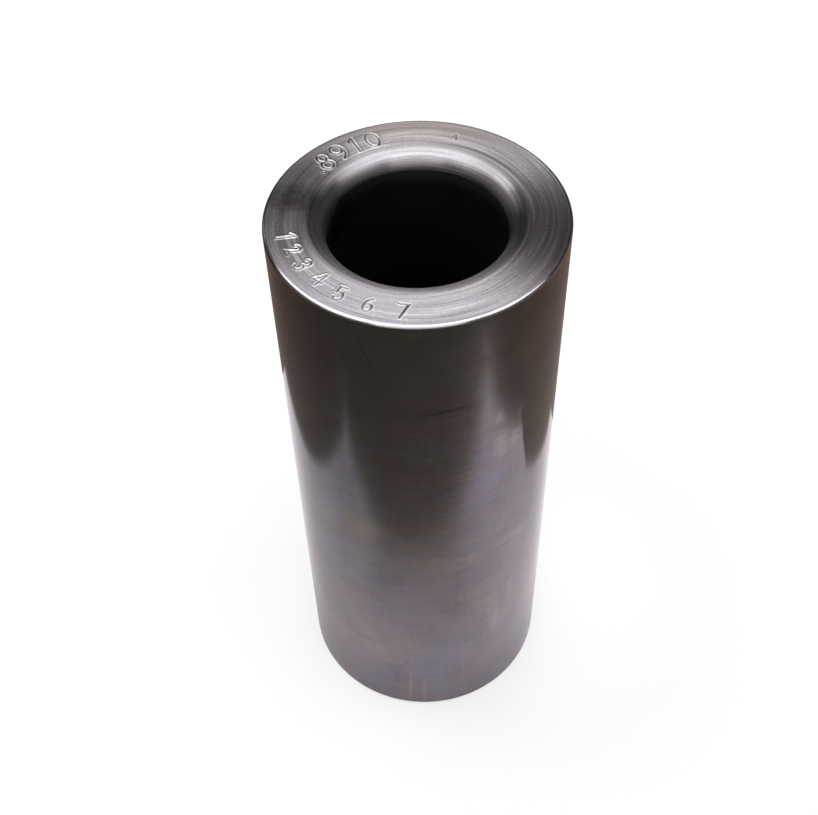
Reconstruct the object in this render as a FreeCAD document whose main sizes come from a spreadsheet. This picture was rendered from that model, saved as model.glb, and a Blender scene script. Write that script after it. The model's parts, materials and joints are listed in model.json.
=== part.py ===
"""Piston pin of a large diesel engine: a heavy-walled steel tube, open at both ends.

The pin joins a piston to the small end of its connecting rod. It is one piece, turned
from bar, case-hardened and ground: a plain round wall, a plain through bore, and two
flat end faces that run into the bore over a generous turned radius. The two outer
edges have a small polished radius, so that the pin slides into its bosses without
scoring them.

The pin stands on one end with its axis along +Z. The origin is the middle of the
lower end face. Every size is in millimetres.
"""

import os

import FreeCAD
import Part
import Sketcher

OUT_FOLDER = "parts"
SHEET = "sizes"

# Each driving size: its name, its value in millimetres, and what it is.
DRIVING_SIZES = (
    ("outer_diameter", 60.0, "ground outside diameter, which the bosses and the bush run on"),
    ("pin_length", 144.0, "over the two flat end faces"),
    ("bore_diameter", 36.0, "straight through bore"),
    ("mouth_radius", 3.5, "turned radius from an end face into the bore"),
    ("edge_radius", 0.7, "polished radius on an outer edge"),
)

# Two lengths closer than this are the same when an edge is looked for.
SAME_MM = 1e-4

# Geometry numbers that a sketch uses for its own origin, and a line's two ends.
SKETCH_AXES = -1
LINE_START = 1
LINE_END = 2


def make_size_sheet(doc):
    """Writes the driving sizes to a spreadsheet, one alias to a row."""
    sheet = doc.addObject("Spreadsheet::Sheet", SHEET)
    for row, (alias, value, note) in enumerate(DRIVING_SIZES, start=1):
        sheet.set(f"A{row}", alias)
        sheet.set(f"B{row}", str(value))
        sheet.set(f"C{row}", note)
        sheet.setAlias(f"B{row}", alias)
    doc.recompute()
    return sheet


def origin_plane(body, role):
    """Finds one of the body's own origin planes by its role."""
    return next(feature for feature in body.Origin.OriginFeatures if feature.Role == role)


def draw_wall_section(body, sheet):
    """Sketches half of the pin's long section: the rectangle between bore and outside."""
    sketch = body.newObject("Sketcher::SketchObject", "wall_section")
    sketch.AttachmentSupport = [(origin_plane(body, "XZ_Plane"), "")]
    sketch.MapMode = "FlatFace"

    inner = sheet.bore_diameter / 2
    outer = sheet.outer_diameter / 2
    length = sheet.pin_length
    corners = [
        FreeCAD.Vector(inner, 0, 0),
        FreeCAD.Vector(outer, 0, 0),
        FreeCAD.Vector(outer, length, 0),
        FreeCAD.Vector(inner, length, 0),
    ]
    following = corners[1:] + corners[:1]
    lower_end, outside, upper_end, bore_wall = sketch.addGeometry(
        [Part.LineSegment(start, end) for start, end in zip(corners, following)]
    )

    loop = [lower_end, outside, upper_end, bore_wall]
    for line, following_line in zip(loop, loop[1:] + loop[:1]):
        joint = Sketcher.Constraint("Coincident", line, LINE_END, following_line, LINE_START)
        sketch.addConstraint(joint)
    for line in (lower_end, upper_end):
        sketch.addConstraint(Sketcher.Constraint("Horizontal", line))
    for line in (outside, bore_wall):
        sketch.addConstraint(Sketcher.Constraint("Vertical", line))
    sketch.addConstraint(
        Sketcher.Constraint("PointOnObject", lower_end, LINE_START, SKETCH_AXES)
    )

    bound = (
        ("DistanceX", lower_end, LINE_START, inner, f"{SHEET}.bore_diameter / 2"),
        ("DistanceX", lower_end, LINE_END, outer, f"{SHEET}.outer_diameter / 2"),
        ("DistanceY", outside, LINE_END, length, f"{SHEET}.pin_length"),
    )
    for kind, line, end, value, expression in bound:
        from_origin = Sketcher.Constraint(kind, SKETCH_AXES, LINE_START, line, end, value)
        number = sketch.addConstraint(from_origin)
        sketch.setExpression(f"Constraints[{number}]", expression)
    return sketch


def turn_wall(body, section):
    """Turns the section through a full circle about the pin's axis."""
    wall = body.newObject("PartDesign::Revolution", "turned_wall")
    wall.Profile = section
    wall.ReferenceAxis = (section, ["V_Axis"])
    wall.Angle = 360
    section.Visibility = False
    return wall


def end_circles(shape, radius):
    """Names the circular edges of that radius, such as the bore's two mouths."""
    names = []
    for number, edge in enumerate(shape.Edges, start=1):
        if edge.Curve.TypeId == "Part::GeomCircle":
            if abs(edge.Curve.Radius - radius) < SAME_MM:
                names.append(f"Edge{number}")
    return names


def round_edges(doc, body, base, label, edge_circle_radius, size_alias):
    """Rounds both end circles of one diameter with one named radius."""
    doc.recompute()
    edges = end_circles(base.Shape, edge_circle_radius)
    if len(edges) != 2:
        raise RuntimeError(f"{label}: found {len(edges)} end circles, and the pin has two")
    fillet = body.newObject("PartDesign::Fillet", label)
    fillet.Base = (base, edges)
    fillet.setExpression("Radius", f"{SHEET}.{size_alias}")
    return fillet


def make_piston_pin(doc, sheet):
    """The pin: turned wall, radiused bore mouths, polished outer edges."""
    body = doc.addObject("PartDesign::Body", "piston_pin")
    body.Label = "piston_pin"
    section = draw_wall_section(body, sheet)
    wall = turn_wall(body, section)
    mouths = round_edges(doc, body, wall, "bore_mouths", sheet.bore_diameter / 2, "mouth_radius")
    edges = round_edges(doc, body, mouths, "outer_edges", sheet.outer_diameter / 2, "edge_radius")
    body.Tip = edges
    return body


def check_document(doc):
    """Stops if any object of the document failed to compute."""
    for item in doc.Objects:
        if {"Invalid", "Error"} & set(item.State):
            raise RuntimeError(f"{item.Label} failed: {item.State}")


def export_node(body):
    """Writes the body's one solid to its STEP file, named after the node."""
    shape = body.Shape
    if shape.isNull() or not shape.isValid():
        raise RuntimeError(f"{body.Label} has no valid shape")
    if len(shape.Solids) != 1:
        raise RuntimeError(f"{body.Label} has {len(shape.Solids)} solids, and is one piece")
    shape.exportStep(os.path.join(OUT_FOLDER, f"{body.Label}.step"))
    box = shape.optimalBoundingBox()
    print(
        f"{body.Label}: {box.XLength:.2f} x {box.YLength:.2f} x {box.ZLength:.2f} mm,"
        f" {shape.Volume / 1000:.2f} cm3, {len(shape.Faces)} faces"
    )


def main():
    doc = FreeCAD.newDocument("piston_pin_model")
    sheet = make_size_sheet(doc)
    piston_pin = make_piston_pin(doc, sheet)
    doc.recompute()
    check_document(doc)
    os.makedirs(OUT_FOLDER, exist_ok=True)
    export_node(piston_pin)


main()
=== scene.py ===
import json
import math

import bmesh
import bpy
import numpy as np
from mathutils import Euler, Matrix, Vector


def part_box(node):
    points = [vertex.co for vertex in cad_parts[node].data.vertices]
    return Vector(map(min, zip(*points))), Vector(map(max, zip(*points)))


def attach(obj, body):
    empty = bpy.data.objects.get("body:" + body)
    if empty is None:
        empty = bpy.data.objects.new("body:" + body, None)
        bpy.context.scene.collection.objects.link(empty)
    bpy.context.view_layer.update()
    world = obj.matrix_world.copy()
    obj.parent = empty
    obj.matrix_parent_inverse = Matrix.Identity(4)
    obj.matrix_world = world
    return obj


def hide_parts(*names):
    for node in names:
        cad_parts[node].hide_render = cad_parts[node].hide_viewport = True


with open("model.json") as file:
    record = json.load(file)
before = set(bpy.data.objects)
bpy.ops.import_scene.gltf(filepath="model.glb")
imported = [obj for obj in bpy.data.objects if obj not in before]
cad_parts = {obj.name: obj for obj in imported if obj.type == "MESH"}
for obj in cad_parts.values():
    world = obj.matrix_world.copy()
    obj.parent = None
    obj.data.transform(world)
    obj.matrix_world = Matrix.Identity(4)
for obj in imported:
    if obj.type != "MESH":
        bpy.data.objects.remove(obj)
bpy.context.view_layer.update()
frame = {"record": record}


# Turned blank of the piston pin: a thick-walled tube of case-hardening steel, cut from bar.
# Its section is drawn once and turned about the axis, as the lathe makes it: flat ends, a large
# radius where each end runs into the bore, and a small polished radius on the outer edges.
mm = 0.001
mounts = {mount["name"]: mount["dims"] for mount in frame["record"]["mounts"]}
pin_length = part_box("piston_pin")[1].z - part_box("piston_pin")[0].z
outer_radius = mounts["outside"]["r_mm"] * mm
bore_radius = mounts["bore"]["r_mm"] * mm
mouth_radius = (pin_length - mounts["bore"]["length_mm"] * mm) / 2
edge_radius = (pin_length - mounts["outside"]["length_mm"] * mm) / 2
flat_inner = bore_radius + mouth_radius
flat_outer = outer_radius - edge_radius
flat_middle = (flat_inner + flat_outer) / 2
blend_margin = 0.3 * mm
ring_height = 0.025 * mm
turned_steps = 360
mouth_steps = 18
edge_steps = 8
face_cuts = 15
clean_depth = 12 * mm
tiny = 1e-6


def pick(piece, kind, wanted):
    """In edit mode, selects only those vertices, edges or faces whose middle passes the test."""
    bpy.ops.mesh.select_mode(type=kind)
    bpy.ops.mesh.select_all(action="DESELECT")
    mesh = bmesh.from_edit_mesh(piece.data)
    elements = {"VERT": mesh.verts, "EDGE": mesh.edges, "FACE": mesh.faces}[kind]
    for element in elements:
        if kind == "VERT":
            middle = element.co
        elif kind == "EDGE":
            middle = (element.verts[0].co + element.verts[1].co) / 2
        else:
            middle = element.calc_center_median()
        if wanted(middle):
            element.select_set(True)
    mesh.select_flush_mode()
    bmesh.update_edit_mesh(piece.data)


bpy.ops.object.select_all(action="DESELECT")
bpy.ops.mesh.primitive_plane_add(
    size=1,
    location=((outer_radius + bore_radius) / 2, 0, pin_length / 2),
    rotation=(math.pi / 2, 0, 0),
)
pin = bpy.context.object
pin.name = "pin"
pin.scale = (outer_radius - bore_radius, pin_length, 1)
bpy.ops.object.transform_apply(location=True, rotation=True, scale=True)
bpy.ops.object.mode_set(mode="EDIT")
pick(pin, "VERT", lambda place: place.x < bore_radius + tiny)
bpy.ops.mesh.bevel(offset=mouth_radius, segments=mouth_steps, profile=0.5, affect="VERTICES")
pick(pin, "VERT", lambda place: place.x > outer_radius - tiny)
bpy.ops.mesh.bevel(offset=edge_radius, segments=edge_steps, profile=0.5, affect="VERTICES")
bpy.ops.mesh.select_all(action="SELECT")
bpy.ops.mesh.delete(type="ONLY_FACE")

# A line close beside each radius keeps the flats flat and the walls straight in the shading.
# The tool left a low ring where it turned from the upper face into the mouth.
ring_inner = flat_inner + blend_margin
ring_outer = flat_inner + 2 * blend_margin
for radius in (ring_inner, ring_outer, flat_outer - blend_margin):
    bpy.ops.mesh.select_all(action="SELECT")
    bpy.ops.mesh.bisect(plane_co=(radius, 0, 0), plane_no=(1, 0, 0))
for depth in (mouth_radius + blend_margin, edge_radius + blend_margin, clean_depth):
    for height in (depth, pin_length - depth):
        bpy.ops.mesh.select_all(action="SELECT")
        bpy.ops.mesh.bisect(plane_co=(0, 0, height), plane_no=(0, 0, 1))
pick(
    pin,
    "EDGE",
    lambda place: abs(place.x - flat_middle) < mm and place.z > pin_length - tiny,
)
bpy.ops.mesh.subdivide(number_cuts=face_cuts)
pick(
    pin,
    "VERT",
    lambda place: abs(place.x - ring_inner) < tiny and place.z > pin_length - tiny,
)
bpy.ops.transform.translate(value=(0, 0, ring_height))
bpy.ops.mesh.select_all(action="SELECT")
bpy.ops.mesh.spin(steps=turned_steps, angle=2 * math.pi, center=(0, 0, 0), axis=(0, 0, 1))
bpy.ops.mesh.select_all(action="SELECT")
bpy.ops.mesh.remove_doubles(threshold=tiny)
bpy.ops.mesh.normals_make_consistent(inside=False)
bpy.ops.object.mode_set(mode="OBJECT")

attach(pin, "root")
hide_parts("piston_pin")


# Numbers struck by hand in the upper end face, one blow of a steel punch for each. The blow
# leaves a groove shaped like a V and throws up a bright lip on both sides of it. They are plain
# counting numbers, from 1 to 10 round the ring as on a dial. Some lean, some bit on one side only.
groove_half_width = 0.25 * mm
groove_depth = 0.19 * mm
groove_bluntness = 1.3
lip_offset = 0.36 * mm
lip_width = 0.20 * mm
lip_height = 0.05 * mm
mark_margin = 0.9 * mm
mark_cuts = 5
arc_steps = 14
deepest_bite = 1.25
tilt_of_blow = 1.6


def arc(across, up, half_width, half_height, start, end):
    """Points of a curved stroke, in a box one unit high, between two angles in degrees."""
    return [
        (across + half_width * math.cos(angle), up + half_height * math.sin(angle))
        for angle in np.radians(np.linspace(start, end, arc_steps))
    ]


numerals = {
    "0": [arc(0.3, 0.5, 0.27, 0.48, 0, 360)],
    "1": [[(0.12, 0.74), (0.34, 1.0), (0.34, 0.0)]],
    "2": [arc(0.3, 0.74, 0.25, 0.26, 165, -35) + [(0.05, 0.0), (0.57, 0.0)]],
    "3": [arc(0.28, 0.75, 0.23, 0.24, 150, -85), arc(0.28, 0.26, 0.26, 0.27, 88, -150)],
    "4": [[(0.42, 0.0), (0.42, 1.0), (0.03, 0.32), (0.6, 0.32)]],
    "5": [[(0.5, 1.0), (0.13, 1.0), (0.09, 0.56)] + arc(0.28, 0.32, 0.27, 0.31, 128, -150)],
    "6": [arc(0.3, 0.29, 0.25, 0.28, 0, 360), arc(0.62, 0.3, 0.57, 0.7, 108, 180)],
    "7": [[(0.04, 1.0), (0.56, 1.0), (0.22, 0.0)]],
    "8": [arc(0.3, 0.76, 0.2, 0.23, 0, 360), arc(0.3, 0.27, 0.26, 0.27, 0, 360)],
    "9": [arc(0.3, 0.71, 0.25, 0.28, 0, 360), arc(-0.02, 0.7, 0.57, 0.7, -72, 0)],
    "arrow": [[(0.0, 0.0), (0.28, 1.0), (0.56, 0.0)]],
    "nick": [[(0.3, 0.0), (0.3, 1.0)]],
    "dot": [[(0.3, 0.45), (0.3, 0.55)]],
}
glyph_middle = (0.3, 0.5)

# Each mark: the punch, its angle round the face and its distance from the axis, its height, how
# far it leans, how hard it was struck, and towards which side of the punch the blow fell (across
# and up). Angles are in degrees from the front, where -Y is, towards +X. Lengths are in mm.
inward = [
    ("1", -78.0, 25.6, 3.5, -4, 0.9, (0.2, 0.2)),
    ("2", -69.0, 25.2, 3.0, 8, 0.8, (0.3, 0.7)),
    ("3", -58.5, 25.2, 3.4, -6, 0.9, (0.1, 0.5)),
    ("4", -47.0, 24.9, 3.3, 4, 0.8, (0.7, 0.2)),
    ("5", -34.5, 25.4, 3.4, 6, 0.95, (-0.2, 0.6)),
    ("6", -21.0, 25.6, 3.3, 3, 1.0, (0.2, 0.7)),
    ("7", -6.5, 25.9, 3.5, -4, 1.1, (0.4, 0.2)),
    ("nick", -5.0, 28.7, 0.8, 0, 0.3, (0.0, 0.0)),
    ("dot", -126.0, 22.95, 0.6, 0, 0.5, (0.0, 0.0)),
]
outward = [
    ("8", -132.5, 24.8, 4.8, -12, 0.9, (-0.2, -0.3)),
    ("9", -142.0, 25.2, 4.8, 10, 0.9, (0.6, -0.7)),
    ("1", -150.5, 25.3, 4.8, -4, 0.8, (0.0, -0.6)),
    ("0", -159.5, 25.1, 4.7, 6, 0.8, (0.4, -0.6)),
    ("arrow", 161.5, 25.3, 1.8, 0, 0.5, (0.3, 0.0)),
]
marks = [(mark, False) for mark in inward] + [(mark, True) for mark in outward]


def on_punch(mark, faces_out, x, y):
    """Places on the end face, seen in the punch's own box: across and up from its middle."""
    punch, angle, distance, tall, lean, blow, side = mark
    turn = math.radians(angle)
    along = (math.cos(turn), math.sin(turn))
    outwards = (math.sin(turn), -math.cos(turn))
    sign = 1 if faces_out else -1
    from_x = x - distance * mm * outwards[0]
    from_y = y - distance * mm * outwards[1]
    across = -sign * (from_x * along[0] + from_y * along[1])
    up = sign * (from_x * outwards[0] + from_y * outwards[1])
    tip = math.radians(lean)
    return (
        across * math.cos(tip) + up * math.sin(tip),
        up * math.cos(tip) - across * math.sin(tip),
    )


def under_a_punch(place):
    """True on the upper face wherever one of the marks, or its lip, reaches."""
    if place.z < pin_length - tiny:
        return False
    for mark, faces_out in marks:
        punch, angle, distance, tall, lean, blow, side = mark
        across, up = on_punch(mark, faces_out, place.x, place.y)
        half_width = tall * mm * glyph_middle[0] + mark_margin
        half_height = tall * mm * glyph_middle[1] + mark_margin
        if abs(across) < half_width and abs(up) < half_height:
            return True
    return False


bpy.ops.object.mode_set(mode="EDIT")
pick(pin, "FACE", under_a_punch)
bpy.ops.mesh.subdivide(number_cuts=mark_cuts)
bpy.ops.object.mode_set(mode="OBJECT")


def distance_to_strokes(strokes, across, up):
    """Distance of each place from the nearest stroke of a numeral."""
    nearest = np.full(across.shape, np.inf)
    for stroke in strokes:
        for (ax, ay), (bx, by) in zip(stroke, stroke[1:]):
            run_x, run_y = bx - ax, by - ay
            share = (across - ax) * run_x + (up - ay) * run_y
            share = np.clip(share / (run_x**2 + run_y**2), 0, 1)
            gap = np.hypot(across - ax - share * run_x, up - ay - share * run_y)
            nearest = np.minimum(nearest, gap)
    return nearest


places = np.empty(len(pin.data.vertices) * 3)
pin.data.vertices.foreach_get("co", places)
places = places.reshape(-1, 3)
on_face = places[:, 2] > pin_length - tiny
struck = np.zeros(len(places))
lip = np.zeros(len(places))
for mark, faces_out in marks:
    punch, angle, distance, tall, lean, blow, side = mark
    tall = tall * mm
    across, up = on_punch(mark, faces_out, places[:, 0], places[:, 1])
    strokes = [
        [((a - glyph_middle[0]) * tall, (b - glyph_middle[1]) * tall) for a, b in stroke]
        for stroke in numerals[punch]
    ]
    near = on_face & (np.abs(up) < tall) & (np.abs(across) < tall)
    gap = distance_to_strokes(strokes, across[near], up[near])
    bite = 1 + (side[0] * across[near] + side[1] * up[near]) / tall * tilt_of_blow
    bite = blow * np.clip(bite, 0, deepest_bite)
    groove = bite * np.clip(1 - gap / groove_half_width, 0, 1) ** (1 / groove_bluntness)
    thrown = np.clip(bite, 0, 1) * np.exp(-(((gap - lip_offset) / lip_width) ** 2))
    struck[near] = np.maximum(struck[near], groove)
    lip[near] = np.maximum(lip[near], thrown)
places[:, 2] += lip_height * lip * (1 - np.clip(struck, 0, 1)) - groove_depth * struck
pin.data.vertices.foreach_set("co", places.ravel())
for name, values in (("struck", struck), ("lip", lip)):
    attribute = pin.data.attributes.new(name, "FLOAT", "POINT")
    attribute.data.foreach_set("value", np.clip(values, 0, 1))
pin.data.update()
bpy.ops.object.shade_smooth()


# Finish of the wall: case-hardened steel, ground between centres, then handled with oily hands.
# The wheel leaves fine lines round the pin, so a reflection is sharp sideways and blurred along
# the axis. A film of oil and a trace of heat tint turn the grey to brown, violet and blue.
ground_greys = ("#827975", "#7D7578", "#7A747B", "#75757E")
ground_anisotropy = 0.85
quarter_turn = 0.25
blotch_size = 30 * mm
thumb_size = 8 * mm
darkest_tone = 0.84
lightest_tone = 1.16
wheel_depth = 0.0022 * mm
first_colour = 6
second_colour = 7
mixed_colour = 2


def linear(hex_colour):
    """A colour written as sRGB hex, in the linear values that a shader takes."""
    parts = [int(hex_colour[at : at + 2], 16) / 255 for at in (1, 3, 5)]
    return (*[p / 12.92 if p <= 0.04045 else ((p + 0.055) / 1.055) ** 2.4 for p in parts], 1)


def add_node(tree, kind, settings, inputs):
    """Adds one node, with its settings, and with a value or a link for each input named."""
    node = tree.nodes.new("ShaderNode" + kind)
    for name, value in settings.items():
        setattr(node, name, value)
    for name, value in inputs.items():
        if isinstance(value, bpy.types.NodeSocket):
            tree.links.new(value, node.inputs[name])
        else:
            node.inputs[name].default_value = value
    return node


def new_finish(name):
    """A material with nothing in it but its output."""
    material = bpy.data.materials.new(name)
    material.use_nodes = True
    material.node_tree.nodes.clear()
    return material


def turned_places(tree):
    """For what is turned: the place itself, its height and distance from the axis, and the
    directions outwards and round the pin."""
    place = add_node(tree, "TexCoord", {}, {}).outputs["Object"]
    x, y, z = add_node(tree, "SeparateXYZ", {}, {"Vector": place}).outputs
    minus_y = add_node(tree, "Math", {"operation": "MULTIPLY"}, {0: y, 1: -1.0}).outputs[0]
    round_the_pin = add_node(tree, "CombineXYZ", {}, {"X": minus_y, "Y": x}).outputs[0]
    flat = add_node(tree, "CombineXYZ", {}, {"X": x, "Y": y}).outputs[0]
    distance = add_node(tree, "VectorMath", {"operation": "LENGTH"}, {0: flat}).outputs["Value"]
    outwards = add_node(tree, "VectorMath", {"operation": "NORMALIZE"}, {0: flat}).outputs[0]
    return place, z, distance, outwards, round_the_pin


def drawn_out(tree, outwards, across, length, spacing, detail):
    """Noise drawn out round the axis: its length that way, and its spacing along the height or
    the distance from the axis that it is given as across."""
    stretched = add_node(
        tree, "VectorMath", {"operation": "SCALE"}, {0: outwards, "Scale": outer_radius / length}
    ).outputs[0]
    lines = add_node(tree, "Math", {"operation": "MULTIPLY"}, {0: across, 1: 1 / spacing})
    lifted = add_node(tree, "CombineXYZ", {}, {"Z": lines.outputs[0]}).outputs[0]
    where = add_node(tree, "VectorMath", {"operation": "ADD"}, {0: stretched, 1: lifted})
    return add_node(
        tree,
        "TexNoise",
        {},
        {"Vector": where.outputs[0], "Scale": 1.0, "Detail": detail, "Roughness": 0.6},
    ).outputs["Fac"]


def weighed(tree, patterns):
    """Adds up patterns that swing about a half, each by its weight, about a half again."""
    total = 0.5
    for pattern, weight in patterns:
        shift = -0.5 * weight
        part = add_node(
            tree, "Math", {"operation": "MULTIPLY_ADD"}, {0: pattern, 1: weight, 2: shift}
        ).outputs[0]
        total = add_node(tree, "Math", {"operation": "ADD"}, {0: part, 1: total}).outputs[0]
    return total


def patch(tree, where, middle, half_size, lean, soft, amount):
    """A soft-edged oval: the amount in its middle, and nothing past its half sizes. Its middle
    and sizes are in mm, and it leans by degrees."""
    inside = add_node(
        tree,
        "Mapping",
        {"vector_type": "TEXTURE"},
        {
            "Vector": where,
            "Location": (middle[0] * mm, middle[1] * mm, 0),
            "Rotation": (0, 0, math.radians(lean)),
            "Scale": (half_size[0] * mm, half_size[1] * mm, 1),
        },
    ).outputs[0]
    away = add_node(tree, "VectorMath", {"operation": "LENGTH"}, {0: inside}).outputs["Value"]
    return add_node(
        tree,
        "MapRange",
        {"interpolation_type": "SMOOTHSTEP"},
        {"Value": away, "From Min": 1.0, "From Max": 1 - soft, "To Min": 0, "To Max": amount},
    ).outputs["Result"]


def shaken_places(tree, place, flat_place):
    """Flat places shaken by up to 1.5 mm, so that a patch on them has a ragged edge, and the
    2 mm noise that shakes them."""
    ragged = add_node(
        tree, "TexNoise", {}, {"Vector": place, "Scale": 1 / (2 * mm), "Detail": 4.0}
    )
    shake = add_node(
        tree,
        "VectorMath",
        {"operation": "MULTIPLY_ADD"},
        {0: ragged.outputs["Color"], 1: (3 * mm, 3 * mm, 0), 2: (-1.5 * mm, -1.5 * mm, 0)},
    ).outputs[0]
    moved = add_node(tree, "VectorMath", {"operation": "ADD"}, {0: flat_place, 1: shake})
    return moved.outputs[0], ragged.outputs["Fac"]


def colour_ramp(tree, value, colours, lowest, highest):
    """Colours spread evenly over a stretch of the value."""
    tint = add_node(tree, "ValToRGB", {}, {"Fac": value})
    ramp = tint.color_ramp
    while len(ramp.elements) < len(colours):
        ramp.elements.new(0.5)
    for at, (element, colour) in enumerate(zip(ramp.elements, colours)):
        element.position = lowest + (highest - lowest) * at / (len(colours) - 1)
        element.color = linear(colour)
    return tint.outputs["Color"]


def layered(tree, colour, layers):
    """Lays colours over one another in turn, each as strongly as its mask says."""
    for mask, over in layers:
        colour = add_node(
            tree,
            "Mix",
            {"data_type": "RGBA"},
            {"Factor": mask, first_colour: colour, second_colour: linear(over)},
        ).outputs[mixed_colour]
    return colour


ground = new_finish("ground_case_hardened_steel")
tree = ground.node_tree
place, height, distance, outwards, round_the_pin = turned_places(tree)
blotches = add_node(
    tree,
    "TexNoise",
    {},
    {
        "Vector": place,
        "Scale": 1 / blotch_size,
        "Detail": 5.0,
        "Roughness": 0.6,
        "Distortion": 0.8,
    },
).outputs["Fac"]
grinding_bands = drawn_out(tree, outwards, height, 55 * mm, 2.4 * mm, 5.0)
rag_wipes = drawn_out(tree, outwards, height, 1.4 * mm, 40 * mm, 3.0)
film = weighed(tree, [(blotches, 0.8), (grinding_bands, 0.4), (rag_wipes, 0.25)])
steel_colour = colour_ramp(tree, film, ground_greys, 0.34, 0.66)

# What hands and rags leave is lighter and darker, in thumbed patches and in thin lines each way.
thumbed = add_node(
    tree,
    "TexNoise",
    {},
    {"Vector": place, "Scale": 1 / thumb_size, "Detail": 5.0, "Roughness": 0.65},
).outputs["Fac"]
fine_bands = drawn_out(tree, outwards, height, 20 * mm, 0.9 * mm, 4.0)
rag_lines = drawn_out(tree, outwards, height, 0.9 * mm, 16 * mm, 3.0)
tone = weighed(tree, [(thumbed, 0.8), (fine_bands, 0.6), (rag_lines, 0.32)])
tone = add_node(
    tree,
    "MapRange",
    {},
    {
        "Value": tone,
        "From Min": 0.25,
        "From Max": 0.75,
        "To Min": darkest_tone,
        "To Max": lightest_tone,
    },
).outputs["Result"]
steel_colour = add_node(
    tree, "VectorMath", {"operation": "SCALE"}, {0: steel_colour, "Scale": tone}
).outputs[0]

# Places on the wall, set out flat: round the pin from the front, and up.
frontwards = add_node(
    tree, "VectorMath", {"operation": "DOT_PRODUCT"}, {0: outwards, 1: (0, -1, 0)}
).outputs["Value"]
rightwards = add_node(
    tree, "VectorMath", {"operation": "DOT_PRODUCT"}, {0: outwards, 1: (1, 0, 0)}
).outputs["Value"]
angle = add_node(
    tree, "Math", {"operation": "ARCTAN2"}, {0: rightwards, 1: frontwards}
).outputs[0]
unrolled = add_node(
    tree, "Math", {"operation": "MULTIPLY"}, {0: angle, 1: outer_radius}
).outputs[0]
on_wall = add_node(tree, "CombineXYZ", {}, {"X": unrolled, "Y": height}).outputs[0]
shaken, ragged = shaken_places(tree, place, on_wall)
broken_up = add_node(
    tree,
    "MapRange",
    {},
    {"Value": ragged, "From Min": 0.4, "From Max": 0.55, "To Min": 0.45},
).outputs["Result"]

# Short rust-red specks in front, and painted shade along the foot, darker towards the floor.
specks = drawn_out(tree, outwards, height, 3.0 * mm, 0.9 * mm, 4.0)
specks = add_node(
    tree, "MapRange", {}, {"Value": specks, "From Min": 0.52, "From Max": 0.66}
).outputs["Result"]
speckled = patch(tree, on_wall, (2, 102), (17, 36), 0, 1.0, 0.55)
specks = add_node(tree, "Math", {"operation": "MULTIPLY"}, {0: specks, 1: speckled}).outputs[0]
foot_shade = add_node(
    tree,
    "MapRange",
    {},
    {"Value": height, "From Min": 1.4 * mm, "From Max": 0.4 * mm, "To Max": 0.7},
).outputs["Result"]
steel_colour = layered(tree, steel_colour, [(specks, "#70443F"), (foot_shade, "#383432")])

# Smudges on the wall, and a painted reflection among them: degrees round the pin from the front,
# height, half width and half height in mm, lean, colour, how strong, and what it adds to the
# roughness.
smudges_and_reflection = [
    (33, 104, 2.8, 6.5, 0, "#A19D9B", 0.70, 0.03),
    (40.5, 104.5, 3.4, 5.0, 0, "#A29E9B", 0.70, 0.03),
    (32, 113, 1.3, 3.6, 0, "#9E9A98", 0.70, 0.03),
    (43, 112, 2.0, 3.4, 0, "#98938F", 0.55, 0.03),
    (24, 130, 4.6, 26.0, 0, "#8A8988", 0.40, 0.04),
    (-31, 122, 2.4, 22.0, 0, "#86857F", 0.35, 0.02),
    (28, 96, 5.0, 18.0, 0, "#7C7486", 0.40, 0.00),
    (27, 94, 6.5, 5.0, 0, "#7F8293", 0.35, 0.00),
    (-36, 90, 4.2, 16.0, 0, "#757388", 0.40, 0.00),
    (-32.8, 84, 1.6, 13.0, 0, "#8F8679", 0.30, 0.00),
    (-42, 81, 4.0, 9.0, 0, "#767C8C", 0.35, 0.00),
    (-27, 76, 8.0, 4.0, 0, "#8C7D6F", 0.30, 0.00),
    # The next three, about 66 mm up, make a lighter curved line: a painted reflection.
    (12, 66, 9.0, 3.5, -6, "#92827C", 0.35, 0.02),
    (43, 67, 9.0, 2.6, -12, "#A69C9A", 0.32, 0.01),
    (17, 66, 8.0, 3.6, 10, "#9D9591", 0.40, 0.01),
    (31.5, 42, 1.2, 13.0, 0, "#9D9497", 0.35, 0.01),
    (35, 40, 1.4, 15.0, 1, "#9E9597", 0.35, 0.01),
    (43.5, 43, 1.2, 10.0, -1, "#A0979A", 0.30, 0.01),
    (36, 32, 3.2, 9.0, 0, "#978A8B", 0.35, 0.02),
    (-24, 24, 5.0, 5.0, 0, "#8C8376", 0.40, 0.00),
    (-14.5, 15, 4.6, 7.5, 12, "#605D73", 0.60, 0.00),
    (3, 19, 6.0, 9.0, 0, "#6D7383", 0.45, 0.00),
    (-46, 40, 5.0, 14.0, 0, "#757B86", 0.30, 0.00),
    (-7.8, 6, 0.9, 13.0, -2, "#9B8B80", 0.50, 0.01),
    (-0.8, 5, 0.9, 10.0, 1, "#998A83", 0.45, 0.01),
    (8, 120, 8.0, 0.4, 8, "#38302D", 0.55, 0.00),
    (12, 117.5, 5.0, 0.5, 10, "#9A8F8A", 0.30, 0.02),
    (-19.6, 135.5, 0.22, 9.5, 18, "#38322F", 0.45, 0.00),
]
thinnest_ragged = 1.0
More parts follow.
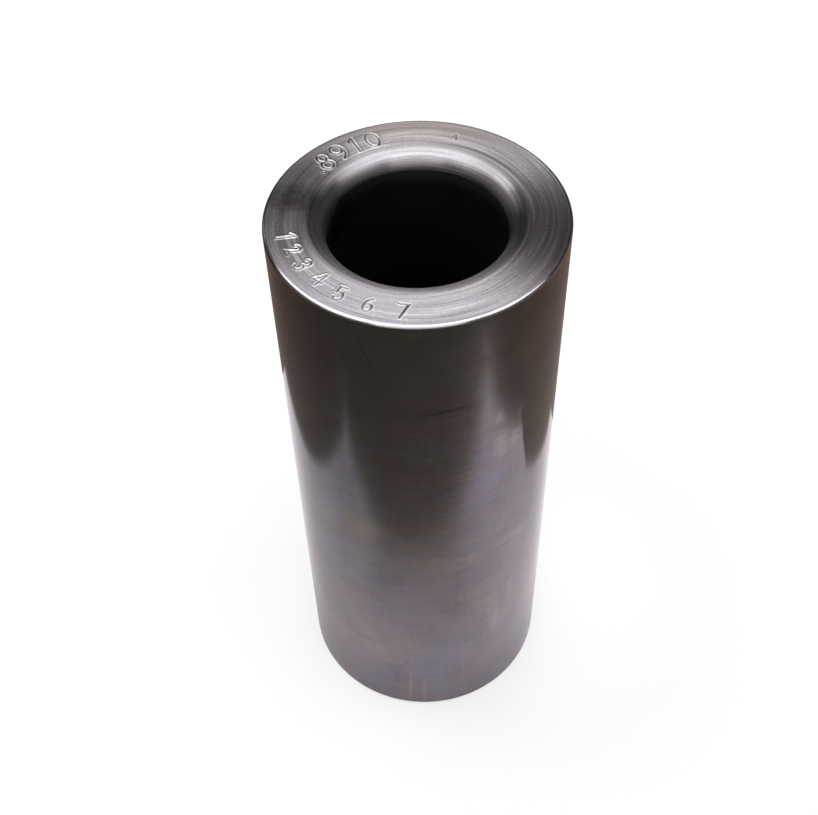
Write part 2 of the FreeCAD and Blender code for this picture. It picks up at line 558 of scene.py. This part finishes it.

# The wall is rougher in front, where rags have rubbed it most, and under some of the smudges and
# the painted reflection.
ground_roughness = add_node(
    tree,
    "MapRange",
    {},
    {"Value": film, "From Min": 0.3, "From Max": 0.7, "To Min": 0.075, "To Max": 0.095},
).outputs["Result"]
rubbed = patch(tree, on_wall, (2, 72), (31, 120), 0, 0.9, 0.09)
ground_roughness = add_node(
    tree, "Math", {"operation": "ADD"}, {0: ground_roughness, 1: rubbed}
).outputs[0]
for degrees, high, half_width, half_height, lean, colour, strong, rougher in smudges_and_reflection:
    middle = (math.radians(degrees) * outer_radius / mm, high)
    is_ragged = min(half_width, half_height) >= thinnest_ragged
    where = shaken if is_ragged else on_wall
    mask = patch(tree, where, middle, (half_width, half_height), lean, 0.8, 1.0)
    if is_ragged:
        mask = add_node(tree, "Math", {"operation": "MULTIPLY"}, {0: mask, 1: broken_up}).outputs[0]
    share = add_node(tree, "Math", {"operation": "MULTIPLY"}, {0: mask, 1: strong}).outputs[0]
    steel_colour = layered(tree, steel_colour, [(share, colour)])
    if rougher:
        ground_roughness = add_node(
            tree, "Math", {"operation": "MULTIPLY_ADD"}, {0: mask, 1: rougher, 2: ground_roughness}
        ).outputs[0]

wheel_lines = drawn_out(tree, outwards, height, 60 * mm, 0.7 * mm, 3.0)
bump = add_node(tree, "Bump", {}, {"Height": wheel_lines, "Strength": 1.0, "Distance": wheel_depth})
steel = add_node(
    tree,
    "BsdfPrincipled",
    {},
    {
        "Base Color": steel_colour,
        "Metallic": 1.0,
        "Roughness": ground_roughness,
        "Anisotropic": ground_anisotropy,
        "Anisotropic Rotation": quarter_turn,
        "Tangent": round_the_pin,
        "Normal": bump.outputs["Normal"],
    },
)
add_node(tree, "OutputMaterial", {}, {"Surface": steel.outputs["BSDF"]})
pin.data.materials.append(ground)


# Finish of the end faces: fine-turned steel, with the tool marks left in rings. Across the rings
# it scatters light widely, so it fans out bright towards and away from a light overhead. The bore
# mouths and the outer edges are polished, and handling has left a haze, a stain and dark oxide.
turned_greys = ("#857F83", "#ADA7AB", "#BDB8BB", "#E6E1E1")
turned_anisotropy = 0.92
turned_depth = 0.02 * mm
clean_roughness = 0.38
hazy_roughness = 0.56
stain_middle = (-24.2, 5.8)
worn_begins = 26.2 * mm
worn_full = 27.4 * mm
seam_radius = 22.8 * mm
seam_half_width = 0.6 * mm
seam_core = 0.1 * mm
streak_depth = 2.4 * mm
turned = new_finish("fine_turned_steel")
tree = turned.node_tree
place, height, distance, outwards, round_the_pin = turned_places(tree)
level_place = add_node(
    tree, "VectorMath", {"operation": "MULTIPLY"}, {0: place, 1: (1, 1, 0)}
).outputs[0]
upper_depth = add_node(
    tree, "Math", {"operation": "SUBTRACT"}, {0: pin_length, 1: height}
).outputs[0]
depth = add_node(tree, "Math", {"operation": "MINIMUM"}, {0: height, 1: upper_depth}).outputs[0]
along_section = add_node(
    tree, "Math", {"operation": "SUBTRACT"}, {0: distance, 1: depth}
).outputs[0]
broad_rings = drawn_out(tree, outwards, along_section, 50 * mm, 1.1 * mm, 3.0)
tool_rings = drawn_out(tree, outwards, along_section, 24 * mm, 0.4 * mm, 3.0)
grain = add_node(
    tree, "TexNoise", {}, {"Vector": place, "Scale": 1 / (0.6 * mm), "Detail": 3.0}
).outputs["Fac"]
rings = weighed(tree, [(broad_rings, 0.65), (tool_rings, 1.1), (grain, 0.35)])
steel_colour = colour_ramp(tree, rings, turned_greys, 0.25, 0.75)

# The polished mouths and outer edges, with painted shade on the outer edge at the left that dims
# its highlight.
in_mouth = add_node(
    tree,
    "MapRange",
    {"interpolation_type": "SMOOTHSTEP"},
    {"Value": distance, "From Min": flat_inner + 0.1 * mm, "From Max": flat_inner - 0.4 * mm},
).outputs["Result"]
silvery = add_node(tree, "Math", {"operation": "MULTIPLY"}, {0: in_mouth, 1: 0.45}).outputs[0]
on_edge = add_node(
    tree,
    "MapRange",
    {},
    {"Value": distance, "From Min": flat_outer - 0.1 * mm, "From Max": flat_outer + 0.2 * mm},
).outputs["Result"]
polished = add_node(tree, "Math", {"operation": "MULTIPLY"}, {0: on_edge, 1: 0.45}).outputs[0]
painted_edge_shade = patch(tree, level_place, (-28.0, -11.0), (5.0, 9.0), 0, 0.7, 0.8)
painted_edge_shade = add_node(
    tree, "Math", {"operation": "MULTIPLY"}, {0: on_edge, 1: painted_edge_shade}
).outputs[0]

# The round stain at the left, where a drop dried: a mottled smear, and a darker rim inside it.
shaken, ragged = shaken_places(tree, place, level_place)
smear = patch(tree, shaken, stain_middle, (7.0, 5.6), -17, 0.5, 0.62)
mottled = add_node(
    tree,
    "MapRange",
    {},
    {"Value": ragged, "From Min": 0.35, "From Max": 0.6, "To Min": 0.6},
).outputs["Result"]
smear = add_node(tree, "Math", {"operation": "MULTIPLY"}, {0: smear, 1: mottled}).outputs[0]
rim = patch(tree, level_place, stain_middle, (2.6, 2.6), 0, 0.15, 0.30)

# Painted tints of the light mirrored in front, cool, and behind, warm. Darker patches, the worn
# band behind, and the dark seam at the mouth, behind on the right.
haze = patch(tree, level_place, (-30.0, -2.0), (19.0, 20.0), 0, 1.0, 1.0)
painted_cool_reflection = patch(tree, level_place, (-6.0, -25.0), (30.0, 13.0), -8, 1.0, 0.30)
painted_warm_reflection = patch(tree, level_place, (5.0, 27.0), (27.0, 12.0), 0, 1.0, 0.38)
# Darker patches: on the face behind on the left, and in the mouth behind on the right and on the
# right.
darker_left_back = patch(tree, level_place, (-20.5, 16.0), (11.0, 8.0), 38, 0.9, 0.55)
darker_right_back = patch(tree, level_place, (13.5, 14.0), (8.0, 8.0), 0, 0.9, 0.42)
darker_right = patch(tree, level_place, (19.2, -2.0), (3.2, 11.5), 0, 0.9, 0.55)
worn_streaks = add_node(
    tree,
    "MapRange",
    {},
    {"Value": broad_rings, "From Min": 0.35, "From Max": 0.65, "To Min": 0.95, "To Max": 0.45},
).outputs["Result"]
worn_band = add_node(
    tree,
    "MapRange",
    {"interpolation_type": "SMOOTHSTEP"},
    {"Value": distance, "From Min": worn_begins, "From Max": worn_full},
).outputs["Result"]
worn_band = add_node(
    tree, "Math", {"operation": "MULTIPLY"}, {0: worn_band, 1: worn_streaks}
).outputs[0]
behind = patch(tree, level_place, (0.0, 32.0), (40.0, 24.0), 0, 0.6, 1.0)
worn_band = add_node(
    tree, "Math", {"operation": "MULTIPLY"}, {0: worn_band, 1: behind}
).outputs[0]
from_seam = add_node(
    tree, "Math", {"operation": "SUBTRACT"}, {0: distance, 1: seam_radius}
).outputs[0]
from_seam = add_node(tree, "Math", {"operation": "ABSOLUTE"}, {0: from_seam}).outputs[0]
dark_seam = add_node(
    tree, "MapRange", {}, {"Value": from_seam, "From Min": seam_half_width, "From Max": seam_core}
).outputs["Result"]
right_behind = patch(tree, level_place, (14.0, 15.0), (17.0, 15.0), 0, 0.8, 0.7)
dark_seam = add_node(
    tree, "Math", {"operation": "MULTIPLY"}, {0: dark_seam, 1: right_behind}
).outputs[0]

# Oxide in the bottom of each number, and the bright lips beside it.
struck_here = add_node(tree, "Attribute", {"attribute_name": "struck"}, {}).outputs["Fac"]
lip_here = add_node(tree, "Attribute", {"attribute_name": "lip"}, {}).outputs["Fac"]
oxide = add_node(
    tree, "MapRange", {}, {"Value": struck_here, "From Min": 0.35, "From Max": 0.9, "To Max": 0.7}
).outputs["Result"]
bright_lip = add_node(tree, "Math", {"operation": "MULTIPLY"}, {0: lip_here, 1: 0.6}).outputs[0]
pressed = add_node(
    tree, "Math", {"operation": "MAXIMUM"}, {0: struck_here, 1: lip_here}
).outputs[0]

# Painted shade darkens the mouth downwards, in streaks, and a deeper painted shade the bore below
# it. Each depth is in
# mm: where the shade begins and where it is full, all round and then on the left.
mouth_shade_depths = ((3.5, 1.6), (4.9, 9.5))
bore_shade_depths = ((5.4, 8.4), (8.8, 13.8))
streaky_depth = add_node(
    tree, "Math", {"operation": "MULTIPLY_ADD"}, {0: broad_rings, 1: streak_depth, 2: depth}
).outputs[0]
leftwards = add_node(
    tree, "VectorMath", {"operation": "DOT_PRODUCT"}, {0: outwards, 1: (-0.98, -0.17, 0)}
).outputs["Value"]
shades_into_bore = []
for depths in (mouth_shade_depths, bore_shade_depths):
    limits = [
        add_node(
            tree,
            "MapRange",
            {"interpolation_type": "SMOOTHSTEP"},
            {
                "Value": leftwards,
                "From Min": 0.7,
                "From Max": 1.0,
                "To Min": all_round * mm,
                "To Max": on_the_left * mm,
            },
        ).outputs["Result"]
        for all_round, on_the_left in depths
    ]
    shade_into_bore = add_node(
        tree,
        "MapRange",
        {"interpolation_type": "SMOOTHSTEP"},
        {"Value": streaky_depth, "From Min": limits[0], "From Max": limits[1]},
    )
    shades_into_bore.append(shade_into_bore.outputs["Result"])
mouth_shade, bore_shade = shades_into_bore

layers = [
    (worn_band, "#786F71"),
    # painted tints of the mirrored light, cool in front and warm behind
    (painted_cool_reflection, "#A6A5B4"),
    (painted_warm_reflection, "#B5A8A3"),
    (silvery, "#A8A5AA"),
    (darker_left_back, "#77716F"),
    (darker_right_back, "#77716F"),
    (dark_seam, "#4A4647"),
    (darker_right, "#4A4647"),
    (smear, "#676461"),
    (rim, "#55524F"),
    (oxide, "#4F4845"),
    (bright_lip, "#E2DEDD"),
    (polished, "#E4E0E0"),
    # painted shade dimming the outer edge's highlight at the left
    (painted_edge_shade, "#403C3A"),
    # painted shade, darkening the mouth and the bore below it
    (mouth_shade, "#302E2C"),
    (bore_shade, "#181716"),
]
steel_colour = layered(tree, steel_colour, layers)
turned_roughness = add_node(
    tree, "MapRange", {}, {"Value": haze, "To Min": clean_roughness, "To Max": hazy_roughness}
).outputs["Result"]
for share, roughness in ((in_mouth, 0.32), (on_edge, 0.22), (pressed, 0.32), (mouth_shade, 0.5)):
    turned_roughness = add_node(
        tree,
        "Mix",
        {"data_type": "FLOAT"},
        {"Factor": share, "A": turned_roughness, "B": roughness},
    ).outputs["Result"]
relief = weighed(tree, [(broad_rings, 0.8), (tool_rings, 0.5), (grain, 0.3)])
bump = add_node(tree, "Bump", {}, {"Height": relief, "Strength": 1.0, "Distance": turned_depth})
steel = add_node(
    tree,
    "BsdfPrincipled",
    {},
    {
        "Base Color": steel_colour,
        "Metallic": 1.0,
        "Roughness": turned_roughness,
        "Anisotropic": turned_anisotropy,
        "Anisotropic Rotation": quarter_turn,
        "Tangent": round_the_pin,
        "Normal": bump.outputs["Normal"],
    },
)
add_node(tree, "OutputMaterial", {}, {"Surface": steel.outputs["BSDF"]})
pin.data.materials.append(turned)


# Finish of the bore: bored once and never ground, with the tool marks running round it. Its dark
# colour is partly a dark bored finish and partly painted shade, as next to no light gets in.
bored_roughness = 0.6
boring_spacing = 0.5 * mm
boring_depth = 0.01 * mm
skin = 0.03 * mm
bored = new_finish("bored_dark_steel")
tree = bored.node_tree
place, height, distance, outwards, round_the_pin = turned_places(tree)
boring_rings = drawn_out(tree, outwards, height, 30 * mm, boring_spacing, 3.0)
# dark bored steel, its darkness partly painted shade
steel_colour = colour_ramp(tree, boring_rings, ("#2B2928", "#353230"), 0.3, 0.7)
bump = add_node(
    tree, "Bump", {}, {"Height": boring_rings, "Strength": 1.0, "Distance": boring_depth}
)
steel = add_node(
    tree,
    "BsdfPrincipled",
    {},
    {
        "Base Color": steel_colour,
        "Metallic": 1.0,
        "Roughness": bored_roughness,
        "Normal": bump.outputs["Normal"],
    },
)
add_node(tree, "OutputMaterial", {}, {"Surface": steel.outputs["BSDF"]})
pin.data.materials.append(bored)

wall_finish, end_finish, bore_finish = range(3)
for face in pin.data.polygons:
    away = math.hypot(face.center.x, face.center.y)
    is_deep = clean_depth < face.center.z < pin_length - clean_depth
    if away > outer_radius - skin:
        face.material_index = wall_finish
    elif away < bore_radius + skin and is_deep:
        face.material_index = bore_finish
    else:
        face.material_index = end_finish


# Camera, at the photograph's place: in front of the pin and above it, looking down. Its place is
# in metres, its angles are in radians, and its lens and film are in mm.
camera_distance = 0.18134
camera_height = 0.30175
looks_down = 0.8706
looks_aside = 0.0150
leans = -0.0305
focal_length = 54.26
film_width = 36
nearest_seen = 10 * mm
aim = Euler((math.pi / 2 - looks_down, 0, looks_aside)).to_matrix()
aim = aim @ Matrix.Rotation(leans, 3, "Z")
bpy.ops.object.camera_add(location=(0, -camera_distance, camera_height), rotation=aim.to_euler())
camera = bpy.context.object
camera.data.lens = focal_length
camera.data.sensor_width = film_width
camera.data.clip_start = nearest_seen
bpy.context.scene.camera = camera


# Stand: a white floor that keeps the pin's shadow. What the steel mirrors is a sheet of white
# paper under the pin, on a brown table in a dim room, all of it lighter on the window's side.
window_side = (0.82, 0.57, 0)
paper_white = 0.52
paper_diffuse = 0.45
paper_tint = "#FFF1FB"
paper_dim_end = -0.113
paper_bright_end = 0.030
paper_dimmest = 0.21
paper_brightest = 0.58
pin_shade = 0.20
pin_shade_radius = 42 * mm
floor_size = 4
floor_drop = 0.4 * mm
sheet_drop = 0.2 * mm
paper = new_finish("white_paper")
tree = paper.node_tree
place, height, distance, outwards, round_the_pin = turned_places(tree)
rays = add_node(tree, "LightPath", {}, {})

# As the camera sees it: plain white, a little lighter on the window's side and far away.
seen = add_node(
    tree,
    "Math",
    {"operation": "MAXIMUM"},
    {0: rays.outputs["Is Camera Ray"], 1: rays.outputs["Is Transmission Ray"]},
).outputs[0]
window_glow = patch(tree, place, (38, 6), (42, 52), 0, 1.0, 0.11)
white = add_node(
    tree,
    "MapRange",
    {},
    {"Value": distance, "From Min": 0.09, "From Max": 0.6, "To Min": paper_white, "To Max": 1.0},
).outputs["Result"]
white = add_node(tree, "Math", {"operation": "ADD"}, {0: window_glow, 1: white}).outputs[0]
seen = add_node(tree, "Math", {"operation": "MULTIPLY"}, {0: seen, 1: white}).outputs[0]

# As the steel mirrors it: brighter towards the window, less the shades of what stood round it,
# each with its middle and half sizes in mm, and of the pin itself.
toward_window = add_node(
    tree, "VectorMath", {"operation": "DOT_PRODUCT"}, {0: place, 1: window_side}
).outputs["Value"]
mirrored = add_node(
    tree,
    "MapRange",
    {},
    {
        "Value": toward_window,
        "From Min": paper_dim_end,
        "From Max": paper_bright_end,
        "To Min": paper_dimmest,
        "To Max": paper_brightest,
    },
).outputs["Result"]
shades = [
    ((5, -96), (110, 62), 0.34),
    ((-46, -6), (42, 46), 0.16),
    ((-80, -50), (42, 42), 0.30),
    ((86, 10), (48, 56), 0.20),
    ((-86, 8), (38, 56), 0.15),
    ((68, -50), (46, 40), 0.12),
    ((-38, -58), (26, 24), 0.22),
    ((26, -60), (26, 20), 0.17),
]
for middle, half_size, amount in shades:
    shade = patch(tree, place, middle, half_size, 0, 1.0, amount)
    mirrored = add_node(
        tree, "Math", {"operation": "SUBTRACT"}, {0: mirrored, 1: shade}
    ).outputs[0]
close_by = add_node(
    tree,
    "MapRange",
    {"interpolation_type": "SMOOTHSTEP"},
    {
        "Value": distance,
        "From Min": pin_shade_radius,
        "From Max": outer_radius,
        "To Max": pin_shade,
    },
).outputs["Result"]
mirrored = add_node(
    tree, "Math", {"operation": "SUBTRACT"}, {0: mirrored, 1: close_by}
).outputs[0]
mirrored = add_node(
    tree, "Math", {"operation": "MULTIPLY"}, {0: mirrored, 1: rays.outputs["Is Glossy Ray"]}
).outputs[0]

# Under the pin it doesn't shine, so the bore stays dark.
open_floor = add_node(
    tree, "Math", {"operation": "GREATER_THAN"}, {0: distance, 1: flat_inner}
).outputs[0]
lit = add_node(tree, "BsdfDiffuse", {}, {"Color": (paper_diffuse,) * 3 + (1,)}).outputs[0]
for glow, colour in ((seen, "#FFFFFF"), (mirrored, paper_tint)):
    glow = add_node(
        tree, "Math", {"operation": "MULTIPLY"}, {0: glow, 1: open_floor}
    ).outputs[0]
    shine = add_node(tree, "Emission", {}, {"Color": linear(colour), "Strength": glow})
    lit = add_node(tree, "AddShader", {}, {0: lit, 1: shine.outputs[0]}).outputs[0]
add_node(tree, "OutputMaterial", {}, {"Surface": lit})

bpy.ops.mesh.primitive_plane_add(size=floor_size, location=(0, 0, -floor_drop))
floor = bpy.context.object
floor.name = "floor"
floor.data.materials.append(paper)
floor.visible_glossy = False


def only_in_reflections(piece):
    """Keeps a backdrop out of sight, with no light or shadow of its own but what steel mirrors."""
    piece.visible_camera = False
    piece.visible_diffuse = False
    piece.visible_shadow = False
    piece.visible_transmission = False


sheet_corners = [
    (-0.0835, 0.0765),
    (-0.0490, 0.0890),
    (0.0735, 0.0595),
    (0.0740, 0.0470),
    (0.0905, -0.0030),
    (0.1075, -0.0155),
    (0.1035, -0.0920),
    (-0.0990, -0.0635),
]
bpy.ops.mesh.primitive_circle_add(vertices=len(sheet_corners), fill_type="NGON")
sheet = bpy.context.object
sheet.name = "sheet"
for vertex, (x, y) in zip(sheet.data.vertices, reversed(sheet_corners)):
    vertex.co = (x, y, -sheet_drop)
sheet.data.materials.append(paper)
only_in_reflections(sheet)

# The table: brown at the sides and behind, greyer in front, with a pool of light at front right.
table_near = 0.095
table_far = 0.22
table_size = 3
table_drop = 0.6 * mm
table_top = new_finish("brown_table")
tree = table_top.node_tree
place, height, distance, outwards, round_the_pin = turned_places(tree)
toward_window = add_node(
    tree, "VectorMath", {"operation": "DOT_PRODUCT"}, {0: outwards, 1: window_side}
).outputs["Value"]
table_light = add_node(
    tree, "Math", {"operation": "MULTIPLY_ADD"}, {0: toward_window, 1: 0.24, 2: 0.88}
).outputs[0]
pool_of_light = patch(tree, place, (92, -94), (72, 62), 0, 1.0, 0.5)
table_light = add_node(
    tree, "Math", {"operation": "ADD"}, {0: table_light, 1: pool_of_light}
).outputs[0]
out_from_paper = add_node(
    tree, "MapRange", {}, {"Value": distance, "From Min": table_near, "From Max": table_far}
).outputs["Result"]
brown_sides = colour_ramp(tree, out_from_paper, ("#8B8178", "#7D6C62", "#7B706A"), 0, 1)
grey_front = colour_ramp(tree, out_from_paper, ("#88837A", "#767064", "#766F69"), 0, 1)
frontwards = add_node(
    tree, "VectorMath", {"operation": "DOT_PRODUCT"}, {0: outwards, 1: (0, -1, 0)}
).outputs["Value"]
in_front = add_node(
    tree, "MapRange", {}, {"Value": frontwards, "From Min": -0.2, "From Max": 0.7}
).outputs["Result"]
table_colour = add_node(
    tree,
    "Mix",
    {"data_type": "RGBA"},
    {"Factor": in_front, first_colour: brown_sides, second_colour: grey_front},
).outputs[mixed_colour]
shine = add_node(tree, "Emission", {}, {"Color": table_colour, "Strength": table_light})
add_node(tree, "OutputMaterial", {}, {"Surface": shine.outputs[0]})
bpy.ops.mesh.primitive_plane_add(size=table_size, location=(0, 0, -table_drop))
table = bpy.context.object
table.name = "table"
table.data.materials.append(table_top)
only_in_reflections(table)

# The room: a dim grey box round it all, with its floor just under the table.
room_size = 3
room_drop = 10 * mm
dim_room = new_finish("dim_room")
tree = dim_room.node_tree
shine = add_node(tree, "Emission", {}, {"Color": linear("#3A3837"), "Strength": 1.0})
add_node(tree, "OutputMaterial", {}, {"Surface": shine.outputs[0]})
bpy.ops.mesh.primitive_cube_add(size=room_size, location=(0, 0, room_size / 2 - room_drop))
room = bpy.context.object
room.name = "room"
room.data.materials.append(dim_room)
only_in_reflections(room)


# Light: a large soft box overhead, one behind the camera, one at the right and a weak one at the
# back left, in an even white world. A lamp that is more above the pin than before or behind it
# faces straight down, and the others face its top. Each: its place, its two sizes, how bright.
lamps = [
    ((-0.32, 0.03, 0.85), (1.16, 1.05), 2.5),
    ((0.0, -1.0, 0.70), (1.2, 0.6), 1.2),
    ((0.54, -0.12, 0.79), (0.58, 0.66), 1.9),
    ((-0.74, 0.64, 0.66), (0.40, 0.35), 0.6),
]
for where, (wide, deep), bright in lamps:
    down = Vector((0, 0, pin_length)) - Vector(where)
    if abs(down.y) < abs(down.z):
        down = Vector((0, 0, -1))
    turn = down.to_track_quat("-Z", "Y").to_euler()
    bpy.ops.object.light_add(type="AREA", location=where, rotation=turn)
    lamp = bpy.context.object
    lamp.data.shape = "RECTANGLE"
    lamp.data.size = wide
    lamp.data.size_y = deep
    lamp.data.energy = bright * math.pi * wide * deep
    lamp.visible_camera = False

world_light = 0.2
world = bpy.data.worlds.new("world")
bpy.context.scene.world = world
world.use_nodes = True
tree = world.node_tree
tree.nodes.clear()
rays = add_node(tree, "LightPath", {}, {})
seen = add_node(
    tree,
    "Math",
    {"operation": "MAXIMUM"},
    {0: rays.outputs["Is Camera Ray"], 1: rays.outputs["Is Glossy Ray"]},
).outputs[0]
seen = add_node(
    tree, "Math", {"operation": "MAXIMUM"}, {0: seen, 1: rays.outputs["Is Transmission Ray"]}
).outputs[0]
strength = add_node(
    tree, "MapRange", {}, {"Value": seen, "To Min": world_light, "To Max": 1.0}
).outputs["Result"]
sky = add_node(tree, "Background", {}, {"Color": (1, 1, 1, 1), "Strength": strength})
add_node(tree, "OutputWorld", {}, {"Surface": sky.outputs[0]})
bpy.context.scene.view_settings.view_transform = "Standard"
